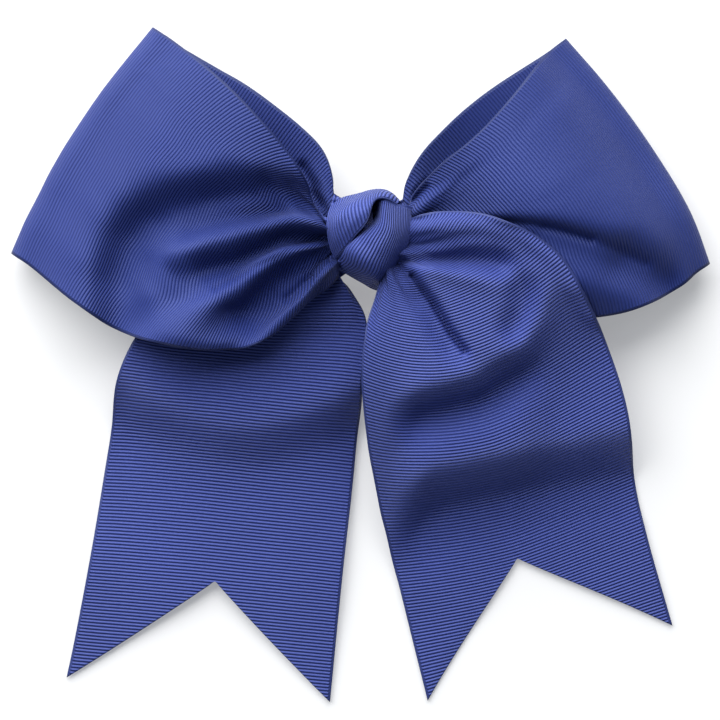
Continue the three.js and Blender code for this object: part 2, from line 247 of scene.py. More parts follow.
def relax(points, flat, pinned, outline_pull, pile, fold_row):
    """Draws a sheet towards its resting distances, near the shape that it started in.

    The result still has some stretch in it. It rests on the pile, and past fold_row the ribbon
    also rests on its own first half.
    """
    shape = points.shape
    goal = points.reshape(-1, 3).copy()
    p = goal.copy()
    mobile = np.where(pinned.ravel(), 0.0, 1.0)
    outline = outline_pull.ravel()[:, None]
    sets = edge_sets(flat, goal)
    clear_of_knot = (np.hypot(goal[:, 0], goal[:, 1]) > KNOT_CLEARANCE) & (mobile > 0)
    if fold_row:
        rows = np.arange(len(p)) // shape[1]
        clear_of_knot &= np.abs(rows - fold_row) > 10
    shares = []
    for a, b, rest, stiffness in sets:
        total = np.maximum(mobile[a] + mobile[b], 1e-9)
        shares.append((mobile[a] / total * stiffness, mobile[b] / total * stiffness))
    for step in range(RELAX_STEPS):
        ease = 1 - 0.7 * step / RELAX_STEPS
        if step < 0.9 * RELAX_STEPS:
            grid = p.reshape(shape)
            bend = np.zeros(shape)
            bend[1:-1] += grid[2:] + grid[:-2] - 2 * grid[1:-1]
            bend[:, 1:-1] += grid[:, 2:] + grid[:, :-2] - 2 * grid[:, 1:-1]
            bend[1:-1, 1:-1] *= 0.5
            p += mobile[:, None] * BEND_STIFFNESS * ease * bend.reshape(-1, 3)
        free = mobile[:, None] * ease
        p[:, :2] += free * outline * (goal[:, :2] - p[:, :2])
        p[:, 2] += mobile * ease * HEIGHT_PULL * (goal[:, 2] - p[:, 2])
        for (a, b, rest, stiffness), (share_a, share_b) in zip(sets, shares):
            gap = p[b] - p[a]
            length = np.sqrt((gap * gap).sum(axis=1)) + 1e-9
            if stiffness < 0.5:
                pull = np.minimum(length - rest, 0) / length
            else:
                pull = (length - rest) / length
                pull = np.where(pull < 0, PUSH_SHARE * pull, pull)
            move = gap * pull[:, None]
            p[a] += move * share_a[:, None]
            p[b] -= move * share_b[:, None]
        if step % CONTACT_STEPS == 0:
            whole = Pile()
            whole.height = pile.height.copy()
            if fold_row:
                whole.lay(p[:(fold_row - 8) * shape[1]])
            lower = slice(0, fold_row * shape[1] if fold_row else len(p))
            upper = slice(lower.stop, len(p))
        loose = clear_of_knot[lower]
        rise = np.maximum(pile.under(p[lower]) + LAYER_GAP - p[lower, 2], 0)
        p[lower, 2] += np.where(loose, rise, 0)
        loose = clear_of_knot[upper]
        rise = np.maximum(whole.under(p[upper]) + LAYER_GAP - p[upper, 2], 0)
        p[upper, 2] += np.where(loose, rise, 0)
        p[:, 2] = np.maximum(p[:, 2], FLOOR_GAP)
    return p.reshape(shape)


# ---------------------------------------------------------------- ribbon lengths

def neck_profile(rows):
    """The pleats where a length of ribbon leaves the knot: (place across the width, x, y, z)."""
    across = np.linspace(0, RIBBON_WIDTH, ACROSS_STEPS + 1)
    table = np.array(rows, float)
    return np.stack(
        [smooth_table(np.column_stack([table[:, 0], table[:, k]]), across) for k in (1, 2, 3)],
        axis=1,
    )


def loft(first_selvage, second_selvage, heights, count):
    """A sheet between its two selvages. heights gives (share of length, z at each third)."""
    first = spline(first_selvage, count)
    second = spline(second_selvage, count)
    t = np.linspace(0, 1, ACROSS_STEPS + 1)[None, :, None]
    plane = first[:, None] * (1 - t) + second[:, None] * t
    s = np.linspace(0, 1, count)
    columns = [smooth_table([(row[0], row[k]) for row in heights], s) for k in (1, 2, 3)]
    t = t[..., 0]
    z = (columns[0][:, None] * (1 - t) * (1 - 2 * t) + columns[1][:, None] * 4 * t * (1 - t)
         + columns[2][:, None] * t * (2 * t - 1))
    return np.dstack([plane, z])


def gather(sheet, neck, reach):
    """Draws the start of a sheet into the pleats of its neck, fading out over reach."""
    offset = neck - sheet[0]
    steps = np.linalg.norm(np.diff(sheet, axis=0), axis=2).mean(axis=1)
    distance = np.concatenate([[0], np.cumsum(steps)])
    fade = (1 - smooth(distance / reach)) ** 1.3
    return sheet + offset[None] * fade[:, None, None]


def even_fibres(sheet, count):
    return np.stack([resample(sheet[:, j], count) for j in range(sheet.shape[1])], axis=1)


def fitted_lengths(sheet):
    """Each fibre's length, smoothed across the ribbon."""
    across = np.linspace(-1, 1, sheet.shape[1])
    lengths = [path_length(sheet[:, j]) for j in range(sheet.shape[1])]
    return np.polyval(np.polyfit(across, lengths, 2), across)


def tail_sheet(design, relief, notch_depth):
    """A tail: gathered at the knot, cut to a V at its end. Returns the sheet and its flat shape."""
    sheet = even_fibres(loft(design["first"], design["second"], design["heights"], 160), 160)
    relief(sheet)
    sheet = gather(sheet, neck_profile(design["neck"]), design["reach"])
    lengths = fitted_lengths(sheet)
    count = int(lengths.mean() / GRID_STEP)
    t = np.linspace(0, 1, ACROSS_STEPS + 1)
    apex = design["apex"] / ACROSS_STEPS
    last = 1 - notch_depth * np.minimum(t / apex, (1 - t) / (1 - apex)) / lengths
    share = np.linspace(0, 1, count)[:, None] * last[None]
    rows = share * (len(sheet) - 1)
    low = np.clip(rows.astype(int), 0, len(sheet) - 2)
    part = (rows - low)[..., None]
    column = np.arange(ACROSS_STEPS + 1)[None]
    points = sheet[low, column] * (1 - part) + sheet[low + 1, column] * part
    along = (share - 1) * lengths[None]
    across = np.broadcast_to(t[None] * RIBBON_WIDTH, along.shape)
    return points, np.dstack([along, across])


def loop_sheet(design):
    """A loop: out from the knot along its back, round the fold, and back along its front."""
    back = loft(design["back_first"], design["back_second"], design["back_heights"], 90)
    back = gather(back, neck_profile(design["back_neck"]), design["reach"])
    front = loft(design["front_first"], design["front_second"], design["front_heights"], 90)
    for drop, half_width, line in design["steps"]:
        add_step(front, drop, half_width, line)
    add_folds(front, design["folds"])
    front = gather(front, neck_profile(design["front_neck"]), design["reach"])
    front = front[::-1]
    across = np.linspace(-1, 1, ACROSS_STEPS + 1)
    bulge = design["bulge"] * (1 - across ** 2)[None, :, None] * np.array([*design["outward"], 0.0])
    near_fold = smooth((np.linspace(0, 1, 90) - 0.4) / 0.6)[:, None, None]
    back = back + bulge * near_fold
    front = front + bulge * near_fold[::-1]
    low, high = back[-1], front[0]
    middle = (low + high) / 2
    radius = np.linalg.norm(high - low, axis=1)[:, None] / 2
    outward = np.array([*design["outward"], 0.0])
    up = (high - low) / np.linalg.norm(high - low, axis=1)[:, None]
    turn = np.linspace(-math.pi / 2, math.pi / 2, 2 * BEND_ROWS + 2)[1:-1]
    bend = np.stack([middle + radius * (math.cos(a) * outward + math.sin(a) * up) for a in turn])
    back_lengths = fitted_lengths(np.concatenate([back, bend[:BEND_ROWS]]))
    front_lengths = fitted_lengths(np.concatenate([bend[BEND_ROWS:], front]))
    back_count = int(back_lengths.mean() / GRID_STEP)
    front_count = int(front_lengths.mean() / GRID_STEP)
    back_rows = even_fibres(np.concatenate([back, bend[:BEND_ROWS]]), back_count)
    front_rows = even_fibres(np.concatenate([bend[BEND_ROWS:], front]), front_count)
    points = np.concatenate([back_rows, front_rows])
    back_share = np.linspace(-1, 0, back_count, endpoint=False)[:, None]
    front_share = np.linspace(0, 1, front_count)[:, None]
    along = np.concatenate([back_share * back_lengths[None], front_share * front_lengths[None]])
    across = np.linspace(0, RIBBON_WIDTH, ACROSS_STEPS + 1)
    return points, np.dstack([along, np.broadcast_to(across[None], along.shape)])


def new_piece(name, points, faces, uv, material):
    """A smooth mesh in the scene, with a UV map that has one place for each of its points."""
    mesh = bpy.data.meshes.new(name)
    mesh.from_pydata(place(points.reshape(-1, 3)).tolist(), [], faces)
    layer = mesh.uv_layers.new(name="strip")
    corner = np.zeros(len(mesh.loops), np.int32)
    mesh.loops.foreach_get("vertex_index", corner)
    layer.data.foreach_set("uv", uv[corner].astype(np.float32).ravel())
    mesh.polygons.foreach_set("use_smooth", [True] * len(mesh.polygons))
    piece = bpy.data.objects.new(name, mesh)
    bpy.context.scene.collection.objects.link(piece)
    mesh.materials.append(material)
    return piece


def cloth_mesh(name, points, flat, material):
    """A mesh of a grid of points, with the ribbon's own coordinates as its UV map."""
    rows, columns = points.shape[:2]
    index = np.arange(rows * columns).reshape(rows, columns)
    quads = np.stack([index[:-1, :-1], index[1:, :-1], index[1:, 1:], index[:-1, 1:]], axis=-1)
    faces = quads.reshape(-1, 4).tolist()
    return new_piece(name, points, faces, flat.reshape(-1, 2) / UV_SCALE, material)


def halve_rows(grid):
    """Puts a row midway between every two rows, on a smooth curve through them."""
    padded = np.concatenate([2 * grid[:1] - grid[1:2], grid, 2 * grid[-1:] - grid[-2:-1]])
    middle = (9 * (padded[1:-2] + padded[2:-1]) - padded[:-3] - padded[3:]) / 16
    result = np.empty((2 * len(grid) - 1, *grid.shape[1:]))
    result[::2] = grid
    result[1::2] = middle
    return result


def even_out(grid):
    """Takes the shortest ripples out of a grid."""
    grid = grid.copy()
    for _ in range(2):
        grid[1:-1] = (grid[2:] + 2 * grid[1:-1] + grid[:-2]) / 4
        grid[:-1, 1:-1] = (grid[:-1, 2:] + 2 * grid[:-1, 1:-1] + grid[:-1, :-2]) / 4
    return grid


def refine(grid):
    """Halves the steps of a grid in both directions."""
    return halve_rows(halve_rows(grid).swapaxes(0, 1)).swapaxes(0, 1)


def thicken(piece, thickness, levels=1):
    """Refines a sheet and gives it the ribbon's thickness, as real mesh."""
    if levels:
        subdivision = piece.modifiers.new("refine", "SUBSURF")
        subdivision.levels = levels
        subdivision.render_levels = levels
    solid = piece.modifiers.new("thickness", "SOLIDIFY")
    solid.thickness = thickness * MM
    solid.offset = 0
    apply_modifiers(piece)


def apply_modifiers(piece):
    bpy.context.view_layer.update()
    graph = bpy.context.evaluated_depsgraph_get()
    mesh = bpy.data.meshes.new_from_object(piece.evaluated_get(graph), depsgraph=graph)
    piece.modifiers.clear()
    piece.data = mesh


# ---------------------------------------------------------------- materials

class Nodes:
    """A short way to write a material's node tree."""

    def __init__(self, name):
        self.material = bpy.data.materials.new(name)
        self.material.use_nodes = True
        self.tree = self.material.node_tree
        self.shader = self.tree.nodes["Principled BSDF"]

    def add(self, kind, **inputs):
        node = self.tree.nodes.new(kind)
        for key, value in inputs.items():
            socket = node.inputs[key.replace("_", " ")]
            if hasattr(value, "is_linked"):
                self.tree.links.new(value, socket)
            else:
                socket.default_value = value
        return node

    def link(self, output, socket):
        self.tree.links.new(output, socket)

    def math(self, operation, a, b=None):
        node = self.tree.nodes.new("ShaderNodeMath")
        node.operation = operation
        for socket, value in zip(node.inputs, (a, b)):
            if value is None:
                continue
            if hasattr(value, "is_linked"):
                self.tree.links.new(value, socket)
            else:
                socket.default_value = value
        return node.outputs[0]

    def mix(self, factor, a, b):
        node = self.tree.nodes.new("ShaderNodeMix")
        node.data_type = "RGBA"
        for socket, value in ((node.inputs[0], factor), (node.inputs[6], a), (node.inputs[7], b)):
            if hasattr(value, "is_linked"):
                self.tree.links.new(value, socket)
            else:
                socket.default_value = value
        return node.outputs[2]

    def strip(self):
        """The UV map's two coordinates."""
        coordinates = self.tree.nodes.new("ShaderNodeUVMap")
        coordinates.uv_map = "strip"
        return self.add("ShaderNodeSeparateXYZ", Vector=coordinates.outputs[0]).outputs

    def position(self):
        return self.tree.nodes.new("ShaderNodeTexCoord").outputs["Object"]

    def map_range(self, value, low, high, to_low=0.0, to_high=1.0):
        node = self.tree.nodes.new("ShaderNodeMapRange")
        for key, limit in (("From Min", low), ("From Max", high), ("To Min", to_low),
                           ("To Max", to_high)):
            node.inputs[key].default_value = limit
        self.link(value, node.inputs["Value"])
        return node.outputs[0]

    def noise(self, vector, scale, detail=2.0):
        node = self.add("ShaderNodeTexNoise", Vector=vector, Scale=scale, Detail=detail)
        return node.outputs[0]

    def bump(self, height, distance, strength=1.0):
        node = self.add("ShaderNodeBump", Height=height, Distance=distance, Strength=strength)
        self.link(node.outputs[0], self.shader.inputs["Normal"])
        return node

    def set(self, **values):
        for key, value in values.items():
            self.shader.inputs[key.replace("_", " ")].default_value = value


def grosgrain(name, crest, groove_shade, relief=1.0, width=RIBBON_WIDTH, shine=0.55):
    """Grosgrain: rounded ribs across the ribbon, fine warp yarns along it, and a firm selvage.

    Away from the knot the ribs stand up less where relief is below 1, as on a pressed loop.
    """
    n = Nodes(name)
    split = n.strip()
    along = n.math("MULTIPLY", split[0], UV_SCALE)
    across = n.math("MULTIPLY", split[1], UV_SCALE)
    position = n.position()
    drift = n.math("MULTIPLY", n.noise(position, 60), 0.25)
    phase = n.math("MULTIPLY", n.math("ADD", along, drift), math.pi / RIB_PITCH)
    rib = n.math("ABSOLUTE", n.math("SINE", phase))
    rib = n.math("POWER", rib, 0.8)
    yarn = n.math("ABSOLUTE", n.math("SINE", n.math("MULTIPLY", across, math.pi / YARN_PITCH)))
    edge = n.math("MINIMUM", across, n.math("SUBTRACT", width, across))
    inside = n.map_range(edge, 0.55, 0.85)
    fibre = n.noise(position, 2600, 3.0)
    mottled = n.noise(position, 45, 3.0)
    height = n.math("ADD", n.math("MULTIPLY", rib, inside), n.math("MULTIPLY", yarn, 0.10))
    height = n.math("ADD", height, n.math("MULTIPLY", fibre, 0.12))
    from_knot = n.tree.nodes.new("ShaderNodeVectorMath")
    from_knot.operation = "DISTANCE"
    n.link(position, from_knot.inputs[0])
    from_knot.inputs[1].default_value = place((0, 0, WAIST_Z))
    relief = n.map_range(from_knot.outputs["Value"], 0.028, 0.05, 1.0, relief)
    n.bump(height, n.math("MULTIPLY", relief, RIB_RELIEF), 1.0)
    depth = n.math("SUBTRACT", n.math("MULTIPLY", n.math("SUBTRACT", 1.0, rib), inside), 0.33)
    depth = n.math("ADD", n.math("MULTIPLY", depth, relief), 0.33)
    # Painted shade: the groove colour darkens the grooves between the ribs, where shade falls.
    colour = n.mix(depth, crest, groove_shade)
    shade = n.math("ADD", 0.90, n.math("MULTIPLY", mottled, 0.2))
    # The selvage is darker: partly the selvage's own firmer weave, partly painted shade that dulls the
    # rim where it catches the key light.
    shade = n.math("MULTIPLY", shade, n.math("ADD", 0.5, n.math("MULTIPLY", inside, 0.5)))
    shaded = n.tree.nodes.new("ShaderNodeVectorMath")
    shaded.operation = "SCALE"
    n.link(colour, shaded.inputs[0])
    n.link(shade, shaded.inputs["Scale"])
    n.link(shaded.outputs[0], n.shader.inputs["Base Color"])
    rough = n.math("ADD", 0.52, n.math("MULTIPLY", depth, 0.2))
    n.link(rough, n.shader.inputs["Roughness"])
    n.set(Specular_IOR_Level=shine, Sheen_Weight=0.04, Sheen_Roughness=0.3)
    n.shader.inputs["Specular Tint"].default_value = (0.7, 0.78, 1, 1)
    n.shader.inputs["Sheen Tint"].default_value = (0.55, 0.6, 0.95, 1)
    return n.material


# ---------------------------------------------------------------- designs of the ribbon lengths

LEFT_TAIL = {
    "first": [(-9, -12), (-4, -18.5), (-0.8, -25), (-2, -36), (-2.9, -47), (-4.9, -70.1),
              (-8.1, -99.1), (-11.7, -135.6)],
    "second": [(-12, 9), (-26, 4), (-42, -5), (-58, -17), (-69, -29), (-73.9, -42.6),
               (-76.8, -61.4), (-81.2, -90.4), (-88.8, -128.4)],
    "heights": [(0, 16, 16, 14), (1, 16, 16, 14)],
    "apex": 28,  # the grid line across the ribbon where the V's point is
    "neck": [(0, -9, -12, 14), (13, -10, -9, 16.5), (26, -11, -5, 13.8), (39, -11.6, -1, 16.5),
             (52, -11.8, 2, 13.8), (64, -12, 5.5, 16.5), (76.2, -12, 9, 14)],
    "reach": 34,
}
LEFT_TAIL_HEIGHT = [(0, 14), (20, 12.6), (30, 12.6), (37, 12.8), (42, 11.6), (48, 6.2), (53, 2.4),
                    (59, 1.2), (72, 1.6), (92, 2.8), (112, 1.8), (136, 0.5)]


RIGHT_TAIL = {
    "first": [(4, -8.5), (2.6, -15.1), (-0.6, -26.1), (-2.3, -44.1), (0.6, -67.2),
              (4.3, -84.6), (10, -108), (16.9, -135.2)],
    "second": [(11.6, 5.3), (20, 6.6), (31.9, 6.1), (44, 1.5), (55.1, -7), (63.8, -20.9),
               (71.9, -39.7), (75.9, -55.7), (77.1, -70.1), (81.2, -87.5), (88.6, -113.2)],
    "heights": [(0, 22, 22, 22), (1, 22, 22, 22)],
    "apex": 27,
    "neck": [(0, 4, -8.5, 20), (14, 5, -9, 24), (29, 7, -7, 19), (43, 9.4, -5, 24),
             (55, 10.4, -2.4, 20.5), (66, 11, 1.5, 23.5), (76.2, 11, 5, 21.5)],
    "reach": 30,
}
RIGHT_TAIL_EDGE_HEIGHT = [(0, 24), (20, 27), (35, 26.8), (50, 23), (65, 16), (80, 8.5), (95, 2.6),
                          (112, 1.6), (135, 0.5)]


LEFT_LOOP = {
    "front_first": [(-8.8, -8.4), (-13, -14.5), (-20.3, -21.6), (-31, -28.3), (-43, -31.2), (-57, -31),
                    (-71, -28.3), (-84, -20.3), (-99, -7.5)],
    "front_second": [(-13.5, 5.5), (-15.5, 9), (-20.3, 18.3), (-31.9, 34.2), (-44, 46.5),
                     (-57.5, 57.5)],
    "front_heights": [(0, 20, 22, 22), (0.2, 21.5, 24, 25), (0.5, 28, 27, 27), (0.8, 23, 22, 22),
                      (1, 13, 14, 14)],
    "front_neck": [(0, -8.8, -8.4, 18), (8, -9.2, -7.2, 21.5), (18, -9.8, -5, 18.5),
                   (31, -10.4, -2.2, 23.5), (42, -11, -0.4, 19.5), (53, -11.8, 1.8, 24.5),
                   (62, -12.6, 3.3, 21), (69, -12.9, 4.6, 24), (76.2, -13.5, 5.5, 22)],
    "back_first": [(-11, -11), (-22, -17), (-40, -25), (-62, -27), (-82, -20), (-99, -7.5)],
    "back_second": [(-10.5, 12.5), (-13, 24.1), (-20.3, 32.8), (-34.8, 44.3), (-44, 49.5),
                    (-57.5, 57.5)],
    "back_heights": [(0, 17, 17, 18), (0.25, 13, 9, 15), (0.5, 10, 5, 11), (0.8, 3, 1.2, 4.5),
                     (1, 0.8, 0.8, 0.8)],
    "back_neck": [(0, -11, -11, 17), (13, -11.5, -8, 19.5), (26, -12, -4, 17), (38, -12, 0, 19.5),
                  (50, -12, 4, 17), (62, -11.4, 8.5, 20.5), (76.2, -10.5, 12.5, 19)],
    "outward": (-0.845, 0.535),
    "bulge": 3.5,
    "reach": 34,
    "steps": [
        (11, 5.5, [(-80, -36), (-76, -14), (-72.5, -2), (-66, 5.5), (-57, 10.8), (-45, 14.5),
                 (-30, 16), (-20, 13.5), (-10, 10)]),
        (-5.5, 4.5, [(-70, -36), (-63.5, -14), (-60, -5), (-53.5, 0.5), (-45, 6), (-36, 9.5),
                     (-26, 11), (-16, 9)]),
    ],
    "folds": [
        (3, 7, [(-66, -29), (-57, -31), (-46, -32)]),
        (-5, 2, [(-50, 0.5), (-42, 4.4), (-34, 6), (-25, 6.8)]),
        (5, 2.6, [(-54, -6), (-45, -2.4), (-35.5, 0.6), (-25, 3), (-13, 3.6)]),
        (-7, 2.2, [(-46, -10.6), (-40, -8.9), (-33, -6.2), (-24, -2.6), (-13, -0.2)]),
        (5.5, 4.4, [(-56, -27), (-47, -25), (-39, -18.5), (-32, -12.5), (-25, -7.2), (-13, -2.2)]),
        (-11, 3, [(-35, -21.5), (-29.5, -17), (-24, -12.4), (-17, -8.6), (-12, -5)]),
        (5, 2.8, [(-34, -29.5), (-24.5, -22), (-17.5, -15), (-12, -9.5)]),
    ],
}

RIGHT_LOOP = {
    "front_first": [(12, -11), (24, -17), (40, -21), (52, -23.5), (64.9, -23.6), (80.7, -19.8),
                    (89.6, -15), (93.8, -10.4)],
    "front_second": [(11, 8.5), (13, 12.5), (20.3, 19.7), (29, 27), (39.5, 38.5), (52, 54.6)],
    "front_heights": [(0, 20, 20, 20), (0.25, 19, 20, 24), (0.5, 20, 25.5, 26), (0.72, 20, 26.5, 26),
                      (0.9, 15.5, 19.5, 20.5), (1, 10, 12, 12.5)],
    "front_neck": [(0, 12, -11, 17), (13, 12, -8, 19.5), (26, 12, -5, 17), (39, 12, -1, 19.5),
                   (52, 12, 2, 17), (64, 11.5, 5.5, 21), (76.2, 11, 8.5, 20)],
    "back_first": [(11, -10), (28, -15), (50, -20), (75, -18), (93.8, -10.4)],
    "back_second": [(9.5, 11), (11, 17), (17.4, 27), (31.9, 41.4), (52, 54.6)],
    "back_heights": [(0, 17, 17, 17), (0.25, 12, 10, 15), (0.5, 5, 3.5, 9), (0.8, 1.4, 1, 3.5),
                     (1, 0.8, 0.8, 0.8)],
    "back_neck": [(0, 11, -10, 13.8), (13, 12, -8, 16.5), (26, 12, -4, 13.8), (38, 12, 0, 16.5),
                  (50, 11.6, 4, 13.8), (62, 10.5, 7.5, 17), (76.2, 9.5, 11, 16)],
    "outward": (0.827, 0.561),
    "bulge": 4,
    "reach": 26,
    "steps": [
        (3.5, 1.6, [(33, 4.2), (46, 3.2), (55, 1), (65, -2.4), (76, -6), (86, -11.5), (90, -17)]),
    ],
    "folds": [
        (-3, 4.5, [(72, -8), (79, -10.5), (85, -14)]),
        (4.5, 6, [(46, -10), (60, -14.5), (72, -19), (80, -22)]),
        (5.5, 17, [(40, 6), (58, 2), (76, -3)]),
    ],
}


def left_tail_relief(sheet):
    """Out from under the knot at its height, then down to lie flat on the table."""
    x, y = sheet[..., 0], sheet[..., 1]
    crown = np.clip(1 - ((x + 36) / 36) ** 2, 0, 1)
    sheet[..., 2] = smooth_table(LEFT_TAIL_HEIGHT, -y - 12 * crown)
    sheet[..., 2] += 3 * crown * smooth((-y - 50) / 15) * smooth((120 + y) / 60)
    add_folds(sheet, [(-1.5, 4, [(-16, -27), (-4, -25)])])


def right_tail_relief(sheet):
    """Over the right loop, down off its edge in two waves, and flat on the table."""
    x, y = sheet[..., 0], sheet[..., 1]
    upper = side_distance(x, y, [(-8, -52), (11, -49), (30, -43.5), (41, -37), (50, -30), (58, -23),
                                 (72, -10)])
    lower = side_distance(x, y, [(-5, -86), (8, -80), (20, -73), (40, -68.5), (60, -66), (84, -61)])
    brow = smooth((x - 42) / 14)
    waves = 27.5 - 14 * smooth(0.5 + upper / (8 + 22 * brow))
    waves = waves + 5.5 * (1 - 0.8 * brow) * smooth((upper - 3) / 11)
    waves = waves - (19 - 4.4 * brow) * smooth(0.5 + lower / 17)
    waves = waves + 1.5 * smooth((lower - 10) / 12) * smooth((125 + y) / 25)
    edge = smooth_table(RIGHT_TAIL_EDGE_HEIGHT, -y)
    share = smooth((x - 4) / 14)
    sheet[..., 2] = np.maximum(edge * (1 - share) + waves * share, 0.6)
    crease = [(7, -5.5), (11.5, -10.7), (17.8, -18.9), (23.2, -27.9), (27.8, -34.3)]
    west = side_distance(x, y, crease)
    fade = smooth((y + 38) / 8)
    cut = smooth(0.5 + west / 1.6)
    fade = fade * smooth((np.hypot(x - 4, y + 2) - 9) / 9)
    sheet[..., 2] -= 5 * fade * cut * np.exp(-(np.maximum(west, 0) / 4) ** 2)
    sheet[..., 2] += 1.5 * fade * (1 - cut) * np.exp(-(west / 5) ** 2)
    add_folds(sheet, [
        (-6, 2.4, [(10, -2.6), (20, -4.6), (30, -6.2), (37, -8)]),
        (1.5, 3, [(16, -8), (28, -11.5), (39, -14)]),
        (-4.5, 3.6, [(41, -26), (44, -20), (43, -14)]),
        (2, 2.6, [(14, 4.6), (30, 4), (44, -0.5), (54, -8)]),
    ])


def pinned_rows(points):
    pinned = np.zeros(points.shape[:2], bool)
    pinned[:2] = True
    pinned[-2:] = True
    return pinned


def selvage_pull(points):
    pull = np.full(points.shape[:2], SELVAGE_PULL * 0.25)
    pull[:, :2] = SELVAGE_PULL
    pull[:, -2:] = SELVAGE_PULL
    return pull


def make_ribbon(name, sheet, pile, looped, material, creases=(), back_creases=()):
    """One length of the main ribbon: relaxed, refined, creased and laid on the pile.

    Its flat size is that of its own flat grid, which follows from the laid-out shape.
    """
    points, flat = sheet
    fold_row = int(np.argmin(np.abs(flat[:, 0, 0]))) if looped else 0
    points = relax(points, flat, pinned_rows(points), selvage_pull(points), pile, fold_row)
    pile.lay(points)
    points, flat = refine(even_out(points)), refine(even_out(flat))
    add_folds(points[:2 * fold_row], back_creases)
    add_folds(points[2 * fold_row:], creases)
    piece = cloth_mesh(name, points, flat, material)
    thicken(piece, RIBBON_THICKNESS, 0)
    return piece


# ---------------------------------------------------------------- the knot

# Each line is one rib of the ribbon, from the free selvage to the edge that turns under.
KNOT_OVER = [
    [(-9.8, -7, 20), (-11.4, -3, 23), (-12.3, 2, 24.5), (-11.9, 6.5, 23), (-10.6, 10, 17),
     (-10.2, 10.2, 13.2)],
    [(-8.2, -5, 25), (-9.9, 0, 28), (-10.2, 5, 28), (-9.2, 9.9, 21), (-9, 10.5, 17),
     (-9, 10.6, 13.2)],
    [(-6, -2.6, 28.2), (-7.8, 1.5, 30), (-8.4, 6, 29.5), (-7.2, 10.8, 21), (-7, 11.2, 17),
     (-7, 11.2, 13.2)],
    [(-4, -0.1, 30.2), (-5.5, 4, 31.6), (-6, 8, 29.3), (-5, 11.4, 21), (-5, 11.8, 17),
     (-5, 11.8, 13.2)],
    [(-2, 2, 31.5), (-3.2, 6, 32.2), (-3.6, 9.5, 29), (-2.8, 12, 21), (-2.8, 12.4, 17),
     (-2.8, 12.4, 13.2)],
    [(-0.6, 4.3, 32), (-1.2, 7.5, 32), (-1.4, 10.5, 28), (-0.8, 12.7, 21), (-0.8, 13, 17),
     (-0.8, 13, 13.2)],
    [(0.2, 7, 31.7), (0.3, 9.4, 31), (0.5, 11.5, 27), (1, 13.1, 21), (1.1, 13.4, 17),
     (1.1, 13.4, 13.2)],
    [(1.2, 9.5, 30.6), (1.7, 10.9, 29), (2.2, 12.3, 25.5), (2.7, 13.3, 20), (2.8, 13.5, 17),
     (2.8, 13.5, 13.2)],
    [(3, 10.4, 29), (3.5, 11.2, 27.6), (4, 12.3, 24.5), (4.4, 13.1, 20), (4.5, 13.3, 16.5),
     (4.5, 13.3, 13.2)],
    [(5.2, 10, 27.4), (5.8, 10.9, 25.8), (6.2, 11.7, 22.5), (6.4, 12.2, 18.5), (6.4, 12.3, 16),
     (6.4, 12.3, 13.2)],
    [(7.6, 8.7, 25.4), (8, 9.5, 23.5), (8.2, 10.1, 20.5), (8.3, 10.4, 17.5), (8.2, 10.4, 15),
     (8, 10.4, 13.2)],
]
KNOT_UNDER = [
    [(2.3, 10.6, 23), (1.9, 6, 24), (0.2, 3, 25.5), (-3.9, 0, 27), (-7.6, -3.6, 25.5),
     (-9.8, -6.8, 20)],
    [(2.9, 10.7, 26.6), (2.7, 6, 27.9), (1.6, 3.1, 28.9), (-2.6, 0, 29.8), (-6.6, -4, 28.2),
     (-9.6, -7.8, 18)],
    [(3.8, 10.5, 27.4), (3.7, 5.5, 29.4), (3.1, 2.4, 30.4), (-1.2, -1.5, 31), (-5.2, -5.5, 29.6),
     (-8.6, -9.3, 17)],
    [(4.9, 10, 27), (5, 4.5, 29.2), (4.3, 1.3, 30.4), (0.4, -3.2, 31.2), (-3.7, -7.1, 29.8),
     (-6.6, -10.6, 17)],
    [(6, 9.4, 26.4), (6.3, 4, 28.6), (5.5, 0.3, 30), (1.7, -4.7, 31), (-1.9, -8.7, 29.4),
     (-4.4, -11.9, 17)],
    [(7.3, 8.9, 25.4), (7.5, 3.5, 27.6), (6.7, -0.8, 28.8), (3.2, -6, 29.8), (0, -10.2, 28.2),
     (-1.9, -13.3, 17)],
    [(8.8, 8.8, 24.4), (8.8, 3.2, 26.2), (8, -1.4, 27), (5, -6.8, 27.6), (2, -11.2, 26.4),
     (0.3, -14.6, 16.5)],
    [(10.3, 8.7, 23.4), (10.3, 3, 24.6), (9.3, -1.8, 24.6), (6.9, -6.6, 24), (4, -11.2, 22.5),
     (2.1, -15.2, 15)],
    [(11.6, 8.3, 21.4), (11.7, 3, 22.6), (10.7, -2.2, 22), (8.3, -6.8, 19), (5, -11.4, 17),
     (3, -14.6, 13.2)],
]
KNOT_BACK = [
    [(-12, 6, 15), (-12.2, 2, 15), (-11.8, -2, 15)],
    [(-10.4, 9.6, 13.1), (-10.6, 2, 13.1), (-10.2, -6, 13.1)],
    [(-7, 11, 13.1), (-7, 2, 13.1), (-7, -9.8, 13.1)],
    [(-3, 12.2, 13.1), (-3, 2, 13.1), (-3, -12.3, 13.1)],
    [(1, 13.2, 13.1), (1, 1, 13.1), (1, -14.4, 13.1)],
    [(4, 13.2, 13.1), (4, 1, 13.1), (4, -13, 13.1)],
    [(7.5, 10.8, 13.1), (7.5, 2, 13.1), (7.5, -8.2, 13.1)],
    [(10.4, 8.8, 13.1), (10.4, 3, 13.1), (10, -3.5, 13.1)],
    [(11.6, 7.5, 15), (11.7, 3, 15), (11.2, -1, 15)],
]


def rib_surface(ribs, rows, columns, first_rib=0.0):
    """A smooth surface through lines of rib, with the ribbon's coordinates of each point."""
    lines = np.stack([spline(rib, rows) for rib in ribs])
    points = np.stack([spline(lines[:, k], columns) for k in range(rows)], axis=1)
    middle = points[:, rows // 2]
    along = np.concatenate([[0], np.cumsum(np.linalg.norm(np.diff(middle, axis=0), axis=1))])
    steps = np.linalg.norm(np.diff(points, axis=1), axis=2)
    across = np.concatenate([np.zeros((columns, 1)), np.cumsum(steps, axis=1)], axis=1)
    return points, np.dstack([np.broadcast_to(along[:, None] + first_rib, across.shape), across])


